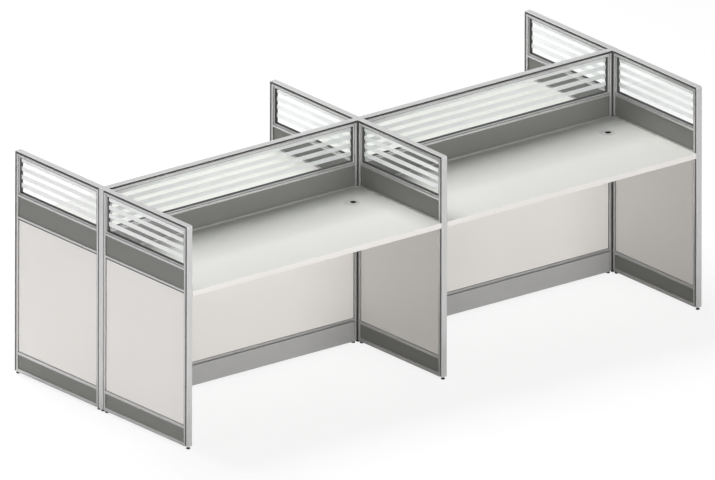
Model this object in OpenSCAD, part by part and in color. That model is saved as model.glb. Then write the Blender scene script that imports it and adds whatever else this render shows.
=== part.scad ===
// Four-seat cubicle workstation: a spine partition with two bays, crossed by three
// partitions, with a worktop in each of the four corners this makes.
// X runs along the spine, -Y is the front, Z is up, and the origin is on the floor
// under the centre post.

/* [Layout] */
// Clear width of one seat, between two cross partitions
seat_w = 1400; // [1100:10:1800]
// Length of a wing, from the face of its post to its free end
wing_len = 600; // [500:10:800]
// Height of the partitions above the floor
screen_h = 1050; // [980:10:1400]
// Thickness of every partition, and width of every post
screen_t = 30; // [30:1:40]
// Height of the frames above the floor, bridged by the feet
floor_gap = 12; // [11:0.5:20]

/* [Frame profiles] */
// Visible width of a stile
stile_w = 10; // [9:0.5:14]
// Height of the bottom rail of the wings
bottom_rail_h = 16; // [9:0.5:20]
// Height of the kick board opening
kick_open_h = 66; // [50:1:100]
// Height of the rail between the kick board and the lower board
kick_rail_h = 13; // [10:0.5:20]
// Height of the rail under the dark band
band_rail_h = 10; // [9:0.5:16]
// Height of the dark band opening
band_open_h = 94; // [60:1:140]
// Height of the rail between the dark band and the glass
mid_rail_h = 10; // [8:0.5:20]
// Height of the rail above the glass
top_rail_h = 8; // [6:0.5:14]
// Depth of the slots that hold the board edges
slot_d = 3.5; // [2.5:0.25:4]
// Wall of the hollow stiles and of the channels
profile_wall = 1.5; // [1.2:0.1:1.6]
// Gap between the parts of a frame where they meet
frame_play = 0.2; // [0.1:0.1:0.5]
// Wall of the square posts
post_wall = 2.5; // [2:0.25:4]
// Corner radius of the posts
post_corner_r = 2; // [1:0.25:2.5]
// Height of the threaded plate in the foot of a post
post_plate_h = 12; // [8:1:20]

/* [Caps and joints] */
// Thickness of the top caps and end trims
cap_t = 3; // [2.5:0.25:5]
// Edge radius of the top caps and end trims
cap_r = 2; // [0.5:0.25:2.25]
// Height of the dark groove under the top caps
top_groove_h = 9; // [6:0.5:14]
// Width of the dark groove behind the end trims
end_groove_w = 10; // [9.5:0.5:14]
// Width of the dark groove beside each post
post_groove_w = 6; // [4:0.5:8]
// Thickness of the joint profiles in the grooves
joint_t = 14; // [11:1:18]

/* [Boards] */
// Thickness of every board
board_t = 5; // [4:0.25:5.5]
// Depth of the board faces behind the frame faces
board_recess = 6; // [4:0.25:6]
// Play of a board in its slots
board_play = 0.3; // [0.2:0.1:1]

/* [Glazing] */
// Thickness of the glass
glass_t = 5; // [4:0.5:8]
// Thickness of the gasket on each face of the glass
gasket_t = 2; // [1:0.5:3]
// Face width of the glazing beads
bead_w = 9; // [6:0.5:14]
// Depth of the bead faces behind the frame faces
bead_setback = 5; // [2:0.5:6]
// Width of gasket that shows beyond the beads
gasket_show = 1.5; // [0.5:0.25:3]
// Play of the glass and the beads in the frame
glazing_play = 0.5; // [0.3:0.1:1.5]

/* [Worktops] */
// Height of the worktop surface above the floor
desk_h = 740; // [680:5:800]
// Thickness of the worktops
desk_t = 25; // [18:1:35]
// Gap between a worktop and the partitions around it
desk_gap = 1; // [0.5:0.5:4]
// Part of the rail under the dark band that the worktop hides
rail_cover = 5; // [2:0.5:8]
// Distance of the cable grommets from the worktop edges
grommet_inset = 155; // [90:5:250]
// Diameter of the grommet holes in the worktops
grommet_hole_d = 60; // [56:1:80]
// Width of the grommet flanges beyond the holes
flange_lip = 6; // [3:0.5:14]
// Height of the grommet flanges above the worktop
flange_h = 2.5; // [1.5:0.25:4]
// Wall of the grommet rings
ring_wall = 3; // [2:0.25:4]
// Thickness of the turning grommet caps
turn_cap_t = 3.5; // [2.5:0.25:5]
// Diameter of the cable hole in the turning caps
cable_hole_d = 28; // [15:1:32]
// Offset of the cable hole from the centre of its cap
cable_hole_off = 8; // [0:0.5:9]

/* [Worktop supports] */
// Thickness of the steel cleats
cleat_t = 3; // [2:0.25:5]
// Height of a cleat on its panel
cleat_h = 30; // [22:1:50]
// Reach of a cleat under its worktop, from the face of the lower board
cleat_reach = 40; // [30:1:80]
// Distance of a wing cleat from the post
wing_cleat_start = 60; // [55:5:120]
// Length of a wing cleat
wing_cleat_len = 380; // [250:5:400]
// Distance of a spine cleat from each post
spine_cleat_margin = 200; // [100:5:300]
// Distance of the cleat screws from the ends of the cleat
screw_inset = 30; // [15:1:60]
// Distance of the cleat screws below the worktop
screw_drop = 16; // [10:1:17]
// Shank diameter of the cleat screws
screw_d = 4; // [3:0.25:5]
// Head diameter of the cleat screws
screw_head_d = 8; // [7:0.25:10]
// Height of the screw heads
screw_head_h = 2; // [1.5:0.1:3]
// Depth of a cleat screw in the worktop
desk_screw_depth = 13; // [8:1:15]

/* [Panel bolts] */
// Shank diameter of the bolts between panels and posts
bolt_d = 5; // [4:0.25:6]
// Head diameter of the bolts
bolt_head_d = 7.2; // [6.5:0.1:7.6]
// Height of the bolt heads
bolt_head_h = 3; // [2:0.25:5]
// Height of the lower bolts above the floor
bolt_low_z = 300; // [200:10:400]
// Height of the upper bolts above the floor
bolt_high_z = 600; // [450:10:640]

/* [Raceway] */
// Height of the top edge of the raceway covers above the floor
cover_top = 104; // [85:1:140]
// Height of the bottom rail under the raceways
raceway_foot_h = 10; // [9:0.5:12]
// Height of the bottom edge of the raceway covers above the floor
cover_bottom = 10; // [9:0.5:11]
// Dark gap above the raceway covers
cover_gap = 4; // [2:0.5:8]
// Height of the rail above the raceway
raceway_rail_h = 10; // [9:0.5:16]
// Sheet thickness of the covers and trays
sheet_t = 1.5; // [1:0.1:2]
// Gap between the ends of a cover and the stiles
cover_end_gap = 1; // [0.5:0.25:3]
// Height of the tray floor above the floor
tray_z = 34; // [28:1:50]
// Height of the tray sides
tray_side_h = 20; // [10:1:30]
// Width of the tabs that carry the covers
tab_w = 40; // [20:1:80]
// Distance of the outer tabs from the posts
tab_inset = 220; // [120:10:400]
// Gap between the tray sides and the covers
tray_gap = 1.5; // [1:0.25:2]
// Overhang of a cover flange behind the tabs it rests on
flange_over = 0.5; // [0.25:0.25:1]

/* [Feet] */
// Diameter of the feet
foot_d = 18; // [14:0.5:18]
// Height of the feet
foot_h = 7; // [5:0.5:9]
// Diameter of the threaded stems
stem_d = 6; // [5:0.25:6]
// Length of a stem above its foot
stem_len = 42; // [34:1:60]
// Width across corners of the lock nuts
nut_d = 11; // [9:0.5:13]
// Distance of a foot from the face of the post beside it
foot_post_off = 12; // [10:0.5:15]

/* [Hidden] */

$fn = 48;
aluminium = "Silver";
dark_joint = "DimGray";
steel = "LightSlateGray";

// Clearances that are the same wherever they occur
hole_play = 0.25;
turn_play = 0.3;
seat_play = 0.3;
cut = 1;

// Plan positions
half_t = screen_t / 2;
pitch = seat_w + screen_t;
spine_len = seat_w;
post_xs = [-pitch, 0, pitch];

// Levels of the frame, from the floor up
bottom_rail_top = floor_gap + bottom_rail_h;
kick_rail_z = bottom_rail_top + kick_open_h;
lower_open_z = kick_rail_z + kick_rail_h;
band_rail_z = desk_h - rail_cover;
band_open_z = band_rail_z + band_rail_h;
mid_rail_z = band_open_z + band_open_h;
glass_open_z = mid_rail_z + mid_rail_h;
cap_z = screen_h - cap_t;
frame_top = cap_z - top_groove_h;
top_rail_z = frame_top - top_rail_h;
raceway_rail_z = cover_top + cover_gap;
desk_under = desk_h - desk_t;

// Depths behind the centre plane of a panel
board_face = half_t - board_recess;
board_back = board_face - board_t;
slot_w = 2 * board_face;
bead_face = half_t - bead_setback;
gasket_face = glass_t / 2 + gasket_t;

// Lengths along a panel, from the face of its post
free_cut = cap_t + end_groove_w + stile_w;
post_cut = post_groove_w + stile_w;
free_foot_off = foot_d / 2;
web_w = stile_w - slot_d;

// Feet: the nut fills the space under the frame, and the stem's bore is blind
nut_h = floor_gap - foot_h - seat_play;
foot_bore_top = floor_gap + foot_h + stem_len;
foot_block_top = foot_bore_top + profile_wall;

// The eight panels: name, plan centre of the post face, turn, length, free end
PANELS = [
    ["left_front", [-pitch, -half_t], -90, wing_len, true],
    ["left_rear", [-pitch, half_t], 90, wing_len, true],
    ["centre_front", [0, -half_t], -90, wing_len, true],
    ["centre_rear", [0, half_t], 90, wing_len, true],
    ["right_front", [pitch, -half_t], -90, wing_len, true],
    ["right_rear", [pitch, half_t], 90, wing_len, true],
    ["left_spine", [-pitch + half_t, 0], 0, spine_len, false],
    ["right_spine", [half_t, 0], 0, spine_len, false]
];
WINGS = [0, 1, 2, 3, 4, 5];
SPINES = [6, 7];
ALL_PANELS = [0, 1, 2, 3, 4, 5, 6, 7];

// The four worktops: name, side along X of the centre post, side along Y of the spine.
// The grommet is in the rear corner that a half turn of the whole block keeps.
DESKS = [
    ["front_left", -1, -1],
    ["front_right", 1, -1],
    ["rear_left", -1, 1],
    ["rear_right", 1, 1]
];

function panel_len(i) = PANELS[i][3];
function is_free(i) = PANELS[i][4];
function open_end(i) = panel_len(i) - (is_free(i) ? free_cut : post_cut);
function kick_rail_low(i) = is_free(i) ? kick_rail_z : raceway_rail_z;
function kick_rail_high(i) = is_free(i) ? lower_open_z : raceway_rail_z + raceway_rail_h;
function foot_places(i) =
    [foot_post_off, is_free(i) ? wing_len - free_foot_off : spine_len - foot_post_off];
// Sides of a panel that face a worktop, as signs of its local Y
function desk_sides(i) =
    i == 0 ? [1] : i == 1 ? [-1] : i == 4 ? [-1] : i == 5 ? [1] : [-1, 1];
function cleat_from(i) = is_free(i) ? wing_cleat_start : spine_cleat_margin;
function cleat_to(i) =
    is_free(i) ? wing_cleat_start + wing_cleat_len : spine_len - spine_cleat_margin;
function screw_places(i) = [cleat_from(i) + screw_inset, cleat_to(i) - screw_inset];
cleat_screw_z = desk_under - screw_drop;
cleat_screw_v = board_face + (cleat_reach + cleat_t) / 2;

// Radii of a grommet, and the level of its ledge above the worktop
flange_r = grommet_hole_d / 2 + flange_lip;
ring_r = grommet_hole_d / 2 - seat_play;
ring_in_r = ring_r - ring_wall;
ledge_r = ring_in_r - ring_wall;
ledge_top = flange_h - turn_cap_t - seat_play;

// Raceway: depth of the cover flanges, half width and top of the tray
cover_flange = 2 * sheet_t + tray_gap + flange_over;
tray_half = half_t - sheet_t - tray_gap;
tab_top = cover_top - sheet_t - seat_play;

// Puts a panel's own frame (X from the post, Y across, Z up) in its place
module at_panel(i) {
    translate([PANELS[i][1][0], PANELS[i][1][1], 0])
        rotate([0, 0, PANELS[i][2]])
            children();
}

// Draws its children on one face of a panel, or mirrored on the other
module on_face(side) {
    mirror([0, side < 0 ? 1 : 0, 0])
        children();
}

// A bar from u0 to u1 along the panel, centred across it
module bar(u0, u1, z0, z1, thick) {
    translate([u0, -thick / 2, z0])
        cube([u1 - u0, thick, z1 - z0]);
}

// A flat strip whose two long upper edges are rounded, in the XY plane
module cap_shape(w) {
    intersection() {
        translate([-w / 2, 0])
            square([w, cap_t]);
        union() {
            translate([-w / 2, -cap_r])
                square([w, cap_t]);
            translate([-w / 2 + cap_r, 0])
                square([w - 2 * cap_r, cap_t]);
            for (s = [-1, 1])
                translate([s * (w / 2 - cap_r), cap_t - cap_r])
                    circle(r = cap_r);
        }
    }
}

// A post: a square tube with a threaded plate in its foot
module post(x) {
    color(aluminium)
        difference() {
            translate([x, 0, floor_gap])
                linear_extrude(cap_z - floor_gap)
                    post_shape();
            translate([x, 0, floor_gap + post_plate_h])
                linear_extrude(screen_h)
                    square(screen_t - 2 * post_wall, center = true);
            translate([x, 0, floor_gap - cut])
                cylinder(d = stem_d + 2 * hole_play, h = post_plate_h + 2 * cut);
            for (i = ALL_PANELS)
                at_panel(i)
                    bolt_holes(i, post_wall);
        }
}

module post_shape() {
    square([screen_t, screen_t - 2 * post_corner_r], center = true);
    square([screen_t - 2 * post_corner_r, screen_t], center = true);
    for (sx = [-1, 1])
        for (sy = [-1, 1])
            translate([sx * (half_t - post_corner_r), sy * (half_t - post_corner_r)])
                circle(r = post_corner_r);
}

// Holes for the bolts at the post ends of a panel, reaching depth past the post face
module bolt_holes(i, depth) {
    for (z = [bolt_low_z, bolt_high_z]) {
        translate([-depth - cut, 0, z])
            rotate([0, 90, 0])
                cylinder(d = bolt_d + 2 * hole_play, h = post_cut + depth + cut);
        if (!is_free(i))
            translate([spine_len + depth + cut, 0, z])
                rotate([0, -90, 0])
                    cylinder(d = bolt_d + 2 * hole_play, h = post_cut + depth + cut);
    }
}

module post_caps() {
    plug_w = screen_t - 2 * post_wall - 2 * seat_play;
    color(aluminium)
        for (x = post_xs)
            translate([x, 0, cap_z]) {
                linear_extrude(cap_t)
                    post_shape();
                translate([-plug_w / 2, -plug_w / 2, -top_groove_h])
                    cube([plug_w, plug_w, top_groove_h]);
            }
}

// One stile: a hollow channel with a solid foot, whose slots face the boards
module stile(i, u0, slot_side) {
    slot_u = slot_side > 0 ? u0 + web_w : u0 - cut;
    core_u = (slot_side > 0 ? u0 : u0 + slot_d) + profile_wall;
    difference() {
        bar(u0, u0 + stile_w, floor_gap, frame_top, screen_t);
        translate([slot_u, -board_face, foot_block_top])
            cube([slot_d + cut, slot_w, glass_open_z + frame_play - foot_block_top]);
        for (v = [board_back, -board_face])
            translate([slot_u, v, floor_gap - cut])
                cube([slot_d + cut, board_t, foot_block_top - floor_gap + 2 * cut]);
        bar(core_u, core_u + web_w - 2 * profile_wall, foot_block_top, frame_top + cut,
            screen_t - 2 * profile_wall);
        bolt_holes(i, 0);
        foot_holes(i);
    }
}

// A rail between the stiles, with slots for the boards. Its tongues go in the stiles.
module rail(i, z, h, thick, slot_below, slot_above, tongues) {
    u0 = post_cut;
    u1 = open_end(i);
    grip = slot_d - board_play;
    difference() {
        union() {
            bar(u0 + frame_play, u1 - frame_play, z, z + h, thick);
            if (tongues)
                for (v = [board_back + frame_play, frame_play - board_face])
                    translate([u0 - grip, v, z])
                        cube([u1 - u0 + 2 * grip, board_t - 2 * frame_play, h]);
        }
        if (slot_below)
            bar(u0 - stile_w, u1 + stile_w, z - cut, z + slot_d, slot_w);
        if (slot_above)
            bar(u0 - stile_w, u1 + stile_w, z + h - slot_d, z + h + cut, slot_w);
        foot_holes(i);
    }
}

// Blind bores for the stems of the feet
module foot_holes(i) {
    for (u = foot_places(i))
        translate([u, 0, floor_gap - cut])
            cylinder(d = stem_d + 2 * hole_play, h = foot_bore_top - floor_gap + cut);
}

// Frame of a panel: two stiles and five rails
module frame(i) {
    wing = is_free(i);
    rail_low = kick_rail_low(i);
    rail_h = kick_rail_high(i) - rail_low;
    color(aluminium)
        at_panel(i) {
            stile(i, post_groove_w, 1);
            stile(i, open_end(i), -1);
            rail(i, floor_gap, wing ? bottom_rail_h : raceway_foot_h, wing ? screen_t : slot_w,
                 false, wing, true);
            rail(i, rail_low, rail_h, screen_t, wing, true, true);
            rail(i, band_rail_z, band_rail_h, screen_t, true, true, true);
            rail(i, mid_rail_z, mid_rail_h, screen_t, true, false, true);
            rail(i, top_rail_z, top_rail_h, screen_t, false, false, false);
        }
}

// Dark profiles in the grooves: beside the posts, behind the end trims, under the caps
module joint_profiles() {
    color(dark_joint)
        for (i = ALL_PANELS)
            at_panel(i) {
                joint_bar(i, 0, post_groove_w);
                if (is_free(i))
                    joint_bar(i, wing_len - cap_t - end_groove_w, wing_len - cap_t);
                else
                    joint_bar(i, spine_len - post_groove_w, spine_len);
                bar(0, is_free(i) ? wing_len - cap_t : spine_len, frame_top, cap_z, joint_t);
            }
}

// An upright joint profile, with the holes that pass through it
module joint_bar(i, u0, u1) {
    difference() {
        bar(u0, u1, floor_gap, frame_top - frame_play, joint_t);
        bolt_holes(i, 0);
        foot_holes(i);
    }
}

module top_caps() {
    color(aluminium)
        for (i = ALL_PANELS)
            at_panel(i)
                translate([0, 0, cap_z])
                    rotate([90, 0, 90])
                        linear_extrude(panel_len(i))
                            cap_shape(screen_t);
}

module end_trims() {
    color(aluminium)
        for (i = WINGS)
            at_panel(i)
                translate([wing_len - cap_t, 0, floor_gap])
                    rotate([0, 0, -90])
                        linear_extrude(cap_z - floor_gap)
                            cap_shape(screen_t);
}

// Two boards of a panel, one on each face, between the levels of an opening
module board_pair(i, z0, z1) {
    grip = slot_d - board_play;
    for (s = [-1, 1])
        translate([post_cut - grip, s > 0 ? board_back : -board_face, z0 - grip])
            cube([open_end(i) - post_cut + 2 * grip, board_t, z1 - z0 + 2 * grip]);
}

module band_boards(list) {
    color("Gray")
        for (i = list)
            at_panel(i)
                board_pair(i, band_open_z, mid_rail_z);
}

module lower_boards(list) {
    color("Gainsboro")
        for (i = list)
            at_panel(i)
                difference() {
                    board_pair(i, kick_rail_high(i), band_rail_z);
                    panel_screw_holes(i);
                }
}

module kick_boards() {
    color("Gray")
        for (i = WINGS)
            at_panel(i)
                board_pair(i, bottom_rail_top, kick_rail_z);
}

module glass(list) {
    color("White", 0.5)
        for (i = list)
            at_panel(i)
                bar(post_cut + glazing_play, open_end(i) - glazing_play,
                    glass_open_z + glazing_play, top_rail_z - glazing_play, glass_t);
}

// A gasket ring on each face of each pane, seen just past the beads
module glazing_gaskets() {
    inner = bead_w + gasket_show;
    color("Black")
        for (i = ALL_PANELS)
            at_panel(i)
                difference() {
                    bar(post_cut + glazing_play, open_end(i) - glazing_play,
                        glass_open_z + glazing_play, top_rail_z - glazing_play,
                        2 * gasket_face);
                    bar(post_cut + inner, open_end(i) - inner,
                        glass_open_z + inner, top_rail_z - inner, screen_t);
                    bar(post_cut, open_end(i), glass_open_z, top_rail_z, glass_t);
                }
}

// Four straight beads on each face of each pane
module glazing_beads() {
    inner = bead_w + frame_play;
    color(aluminium)
        for (i = ALL_PANELS)
            at_panel(i)
                for (s = [-1, 1])
                    on_face(s) {
                        for (z = [glass_open_z, top_rail_z - bead_w])
                            bead(post_cut, open_end(i), z, z + bead_w);
                        for (u = [post_cut, open_end(i) - bead_w])
                            bead(u, u + bead_w, glass_open_z + inner, top_rail_z - inner);
                    }
}

module bead(u0, u1, z0, z1) {
    translate([u0, gasket_face, z0])
        cube([u1 - u0, bead_face - gasket_face, z1 - z0]);
}

// Screws that hold the cleats: holes through cleat, board and bar
module panel_screw_holes(i) {
    for (s = desk_sides(i))
        for (u = screw_places(i))
            translate([u, 0, cleat_screw_z])
                rotate([-90 * s, 0, 0])
                    cylinder(d = screw_d + 2 * hole_play, h = screen_t);
}

// Bars between the lower boards, behind the cleats
module support_bars() {
    color(steel)
        for (i = ALL_PANELS)
            at_panel(i)
                difference() {
                    bar(post_cut, open_end(i), desk_under - cleat_h, desk_under,
                        2 * board_back);
                    panel_screw_holes(i);
                }
}

module cleat_body(i) {
    cleat_u = cleat_from(i);
    len = cleat_to(i) - cleat_u;
    translate([cleat_u, board_face, desk_under - cleat_h])
        cube([len, cleat_t, cleat_h]);
    translate([cleat_u, board_face, desk_under - cleat_t])
        cube([len, cleat_reach, cleat_t]);
}

module cleats() {
    color(steel)
        for (i = ALL_PANELS)
            at_panel(i)
                for (s = desk_sides(i))
                    difference() {
                        on_face(s)
                            cleat_body(i);
                        panel_screw_holes(i);
                        desk_screw_holes(i, s, desk_under - cleat_t - cut);
                    }
}

// Holes for the screws into a worktop, from the level z0 up
module desk_screw_holes(i, s, z0) {
    for (u = screw_places(i))
        translate([u, s * cleat_screw_v, z0])
            cylinder(d = screw_d + 2 * hole_play, h = desk_under + desk_screw_depth + cut - z0);
}

module cleat_screws() {
    panel_shank = board_face + cleat_t - cut;
    color(steel)
        for (i = ALL_PANELS)
            at_panel(i)
                for (s = desk_sides(i))
                    for (u = screw_places(i)) {
                        translate([u, s * (board_face + cleat_t), cleat_screw_z])
                            rotate([90 * s, 0, 0])
                                screw(panel_shank);
                        translate([u, s * cleat_screw_v, desk_under - cleat_t])
                            screw(cleat_t + desk_screw_depth);
                    }
}

// A pan head screw: shank upwards from the origin, head below it
module screw(len) {
    cylinder(d = screw_d, h = len);
    translate([0, 0, -screw_head_h])
        cylinder(d = screw_head_d, h = screw_head_h);
}

module panel_bolts() {
    color(steel)
        for (i = ALL_PANELS)
            at_panel(i)
                for (z = [bolt_low_z, bolt_high_z]) {
                    bolt_at(post_cut - slot_d, z, -1);
                    if (!is_free(i))
                        bolt_at(spine_len - post_cut + slot_d, z, 1);
                }
}

// A bolt whose head sits on a stile web at u and whose shank runs along dir
module bolt_at(u, z, dir) {
    shank = post_cut - slot_d + 2 * post_wall;
    translate([u, 0, z])
        rotate([0, 90 * dir, 0]) {
            cylinder(d = bolt_d, h = shank);
            translate([0, 0, -bolt_head_h])
                cylinder(d = bolt_head_d, h = bolt_head_h);
        }
}

module worktop(k) {
    d = DESKS[k];
    near = half_t + desk_gap;
    x_far = pitch - near;
    y_far = half_t + wing_len;
    color("WhiteSmoke")
        difference() {
            translate([d[1] > 0 ? near : -x_far, d[2] > 0 ? near : -y_far, desk_under])
                cube([x_far - near, y_far - near, desk_t]);
            at_grommet(d, desk_under - cut)
                cylinder(d = grommet_hole_d, h = desk_t + 2 * cut);
            for (i = ALL_PANELS)
                at_panel(i)
                    for (s = desk_sides(i))
                        desk_screw_holes(i, s, desk_under - cut);
        }
}

// Puts its children on the axis of a worktop's grommet, at the level z
module at_grommet(d, z) {
    near = half_t + desk_gap + grommet_inset;
    translate([d[1] == d[2] ? d[1] * near : d[1] * (pitch - near), d[2] * near, z])
        children();
}

module grommet_ring(k) {
    top = flange_h;
    color("Gainsboro")
        at_grommet(DESKS[k], desk_h)
            rotate_extrude()
                polygon([
                    [ring_in_r, ledge_top],
                    [ring_in_r, top],
                    [flange_r - top, top],
                    [flange_r, top / 2],
                    [flange_r, 0],
                    [ring_r, 0],
                    [ring_r, -desk_t],
                    [ring_in_r, -desk_t],
                    [ring_in_r, ledge_top - 2 * ring_wall],
                    [ledge_r, ledge_top - ring_wall],
                    [ledge_r, ledge_top]
                ]);
}

module grommet_cap(k) {
    d = DESKS[k];
    color("Gainsboro")
        at_grommet(d, desk_h + flange_h - turn_cap_t)
            difference() {
                cylinder(r = ring_in_r - turn_play, h = turn_cap_t);
                translate([-d[2] * cable_hole_off, 0, -cut])
                    cylinder(d = cable_hole_d, h = turn_cap_t + 2 * cut);
            }
}

// Trays behind the raceway covers, with tabs that carry the covers
module raceway_trays() {
    color(steel)
        for (i = SPINES)
            at_panel(i) {
                bar(post_cut, open_end(i), tray_z, tray_z + sheet_t,
                    2 * (tray_half - sheet_t - frame_play));
                for (s = [-1, 1])
                    on_face(s) {
                        translate([post_cut, tray_half - sheet_t, tray_z])
                            cube([open_end(i) - post_cut, sheet_t, tray_side_h]);
                        for (u = [tab_inset, spine_len / 2, spine_len - tab_inset])
                            translate([u - tab_w / 2, tray_half - sheet_t, tray_z])
                                cube([tab_w, sheet_t, tab_top - tray_z]);
                    }
            }
}

// A raceway cover: a sheet with a flange along its top and bottom edges
module raceway_cover(i, s) {
    u0 = post_cut + cover_end_gap;
    len = open_end(i) - cover_end_gap - u0;
    color("DarkGray")
        at_panel(i)
            on_face(s)
                translate([u0, half_t - sheet_t, cover_bottom]) {
                    cube([len, sheet_t, cover_top - cover_bottom]);
                    for (z = [0, cover_top - cover_bottom - sheet_t])
                        translate([0, sheet_t - cover_flange, z])
                            cube([len, cover_flange, sheet_t]);
                }
}

// A levelling foot: disc, threaded stem and lock nut
module foot() {
    cylinder(d = foot_d, h = foot_h);
    cylinder(d = stem_d, h = foot_h + stem_len);
    translate([0, 0, foot_h])
        cylinder(d = nut_d, h = nut_h, $fn = 6);
}

module panel_feet(i) {
    color("Black")
        at_panel(i)
            for (u = foot_places(i))
                translate([u, 0, 0])
                    foot();
}

module post_feet() {
    color("Black")
        for (x = post_xs)
            translate([x, 0, 0])
                foot();
}

post(-pitch);  // left_post
post(0);  // centre_post
post(pitch);  // right_post
post_caps();
frame(0);  // left_front_frame
frame(1);  // left_rear_frame
frame(2);  // centre_front_frame
frame(3);  // centre_rear_frame
frame(4);  // right_front_frame
frame(5);  // right_rear_frame
frame(6);  // left_spine_frame
frame(7);  // right_spine_frame
joint_profiles();
top_caps();
end_trims();
band_boards([0, 1]);  // left_band_boards
band_boards([2, 3]);  // centre_band_boards
band_boards([4, 5]);  // right_band_boards
band_boards(SPINES);  // spine_band_boards
lower_boards([0, 1]);  // left_lower_boards
lower_boards([2, 3]);  // centre_lower_boards
lower_boards([4, 5]);  // right_lower_boards
lower_boards(SPINES);  // spine_lower_boards
kick_boards();
glass([0, 1]);  // left_glass
glass([2, 3]);  // centre_glass
glass([4, 5]);  // right_glass
glass(SPINES);  // spine_glass
glazing_gaskets();
glazing_beads();
worktop(0);  // front_left_worktop
worktop(1);  // front_right_worktop
worktop(2);  // rear_left_worktop
worktop(3);  // rear_right_worktop
grommet_ring(0);  // front_left_grommet_ring
grommet_ring(1);  // front_right_grommet_ring
grommet_ring(2);  // rear_left_grommet_ring
grommet_ring(3);  // rear_right_grommet_ring
grommet_cap(0);  // front_left_grommet_cap
grommet_cap(1);  // front_right_grommet_cap
grommet_cap(2);  // rear_left_grommet_cap
grommet_cap(3);  // rear_right_grommet_cap
support_bars();
cleats();
cleat_screws();
panel_bolts();
raceway_trays();
raceway_cover(6, -1);  // front_left_raceway_cover
raceway_cover(7, -1);  // front_right_raceway_cover
raceway_cover(6, 1);  // rear_left_raceway_cover
raceway_cover(7, 1);  // rear_right_raceway_cover
panel_feet(0);  // left_front_feet
panel_feet(1);  // left_rear_feet
panel_feet(2);  // centre_front_feet
panel_feet(3);  // centre_rear_feet
panel_feet(4);  // right_front_feet
panel_feet(5);  // right_rear_feet
panel_feet(6);  // left_spine_feet
panel_feet(7);  // right_spine_feet
post_feet();
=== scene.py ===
# Cubicle workstation: a spine partition with bays on both sides, three cross partitions
# with frosted stripes on the glass, and four worktops. Sizes below are millimetres.
import bpy
import bmesh
from math import sin, cos, pi, radians
from mathutils import Vector, Matrix


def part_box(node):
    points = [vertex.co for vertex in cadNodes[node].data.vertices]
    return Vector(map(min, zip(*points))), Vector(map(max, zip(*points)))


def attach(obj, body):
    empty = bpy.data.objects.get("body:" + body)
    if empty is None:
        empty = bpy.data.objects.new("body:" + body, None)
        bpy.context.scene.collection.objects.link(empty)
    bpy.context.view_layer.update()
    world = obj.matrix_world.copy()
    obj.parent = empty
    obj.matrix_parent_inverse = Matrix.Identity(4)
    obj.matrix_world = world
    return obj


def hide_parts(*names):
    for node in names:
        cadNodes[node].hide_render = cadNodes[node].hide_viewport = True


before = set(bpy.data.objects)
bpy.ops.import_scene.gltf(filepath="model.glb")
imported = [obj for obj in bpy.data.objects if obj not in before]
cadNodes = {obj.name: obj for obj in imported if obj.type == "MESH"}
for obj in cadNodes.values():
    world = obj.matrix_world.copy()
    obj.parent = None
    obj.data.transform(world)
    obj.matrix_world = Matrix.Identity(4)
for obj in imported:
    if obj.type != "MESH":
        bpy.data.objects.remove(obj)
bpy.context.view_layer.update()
scene = bpy.context.scene
print("frame loaded,", len(cadNodes), "nodes")

# camera: parallel view from front left and above
viewSettings = {"azimuth": -38.244, "elevation": 20.482, "roll": 0.12, "width": 3.154,
                "far": 12.0, "clipEnd": 60.0, "aimHeight": 0.525, "shiftRight": -0.0031,
                "shiftUp": -0.046}


def makeCamera(s):
    a, e = radians(s["azimuth"]), radians(s["elevation"])
    back = Vector((sin(a) * cos(e), -cos(a) * cos(e), sin(e)))
    right = Vector((cos(a), sin(a), 0))
    up = back.cross(right)
    aim = Vector((0, 0, s["aimHeight"])) + right * s["shiftRight"] + up * s["shiftUp"]
    data = bpy.data.cameras.new("viewCamera")
    data.type = "ORTHO"
    data.ortho_scale = s["width"]
    data.clip_end = s["clipEnd"]
    cam = bpy.data.objects.new("viewCamera", data)
    cam.location = aim + back * s["far"]
    level = (-back).to_track_quat("-Z", "Y").to_matrix()
    cam.rotation_euler = (Matrix.Rotation(radians(s["roll"]), 3, back) @ level).to_euler()
    scene.collection.objects.link(cam)
    scene.camera = cam


makeCamera(viewSettings)

# mesh store: each piece is gathered here, in millimetres, before it becomes an object
inMetres = 0.001
home = Matrix.Identity(4)
endFacing = 0.8             # a face turned this far to the length of a piece is its end
flatFaceWeight = 90         # how far large faces keep their own normal beside their bevels


def newStore():
    return {"verts": [], "faces": [], "uvs": [], "mats": []}


def gather(store, part, place=home, mat=0):
    # mat is a material slot for the whole part, or None where its faces have their own
    base = len(store["verts"])
    part.verts.index_update()
    layer = part.loops.layers.uv.verify()
    store["verts"] += [place @ v.co for v in part.verts]
    for f in part.faces:
        store["faces"].append([base + v.index for v in f.verts])
        store["uvs"] += [tuple(l[layer].uv) for l in f.loops]
        store["mats"].append(f.material_index if mat is None else mat)
    part.free()


def planUv(part):
    # u and v are x and y, in metres
    layer = part.loops.layers.uv.verify()
    for f in part.faces:
        for l in f.loops:
            l[layer].uv = (l.vert.co.x * inMetres, l.vert.co.y * inMetres)


def lengthwiseUv(part, along):
    # u runs along the piece and v round it, both in metres
    layer = part.loops.layers.uv.verify()
    part.normal_update()
    for f in part.faces:
        n = [abs(c) for c in f.normal]
        rest = [k for k in range(3) if k != along]
        if n[along] > endFacing:
            a, b = rest
        else:
            a, b = along, min(rest, key=lambda k: n[k])
        for l in f.loops:
            l[layer].uv = (l.vert.co[a] * inMetres, l.vert.co[b] * inMetres)


def quarterTurn(steps):
    return [k * pi / 2 / steps for k in range(steps + 1)]


def newLoop(part, points, z):
    return [part.verts.new((x, y, z)) for x, y in points]


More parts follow.
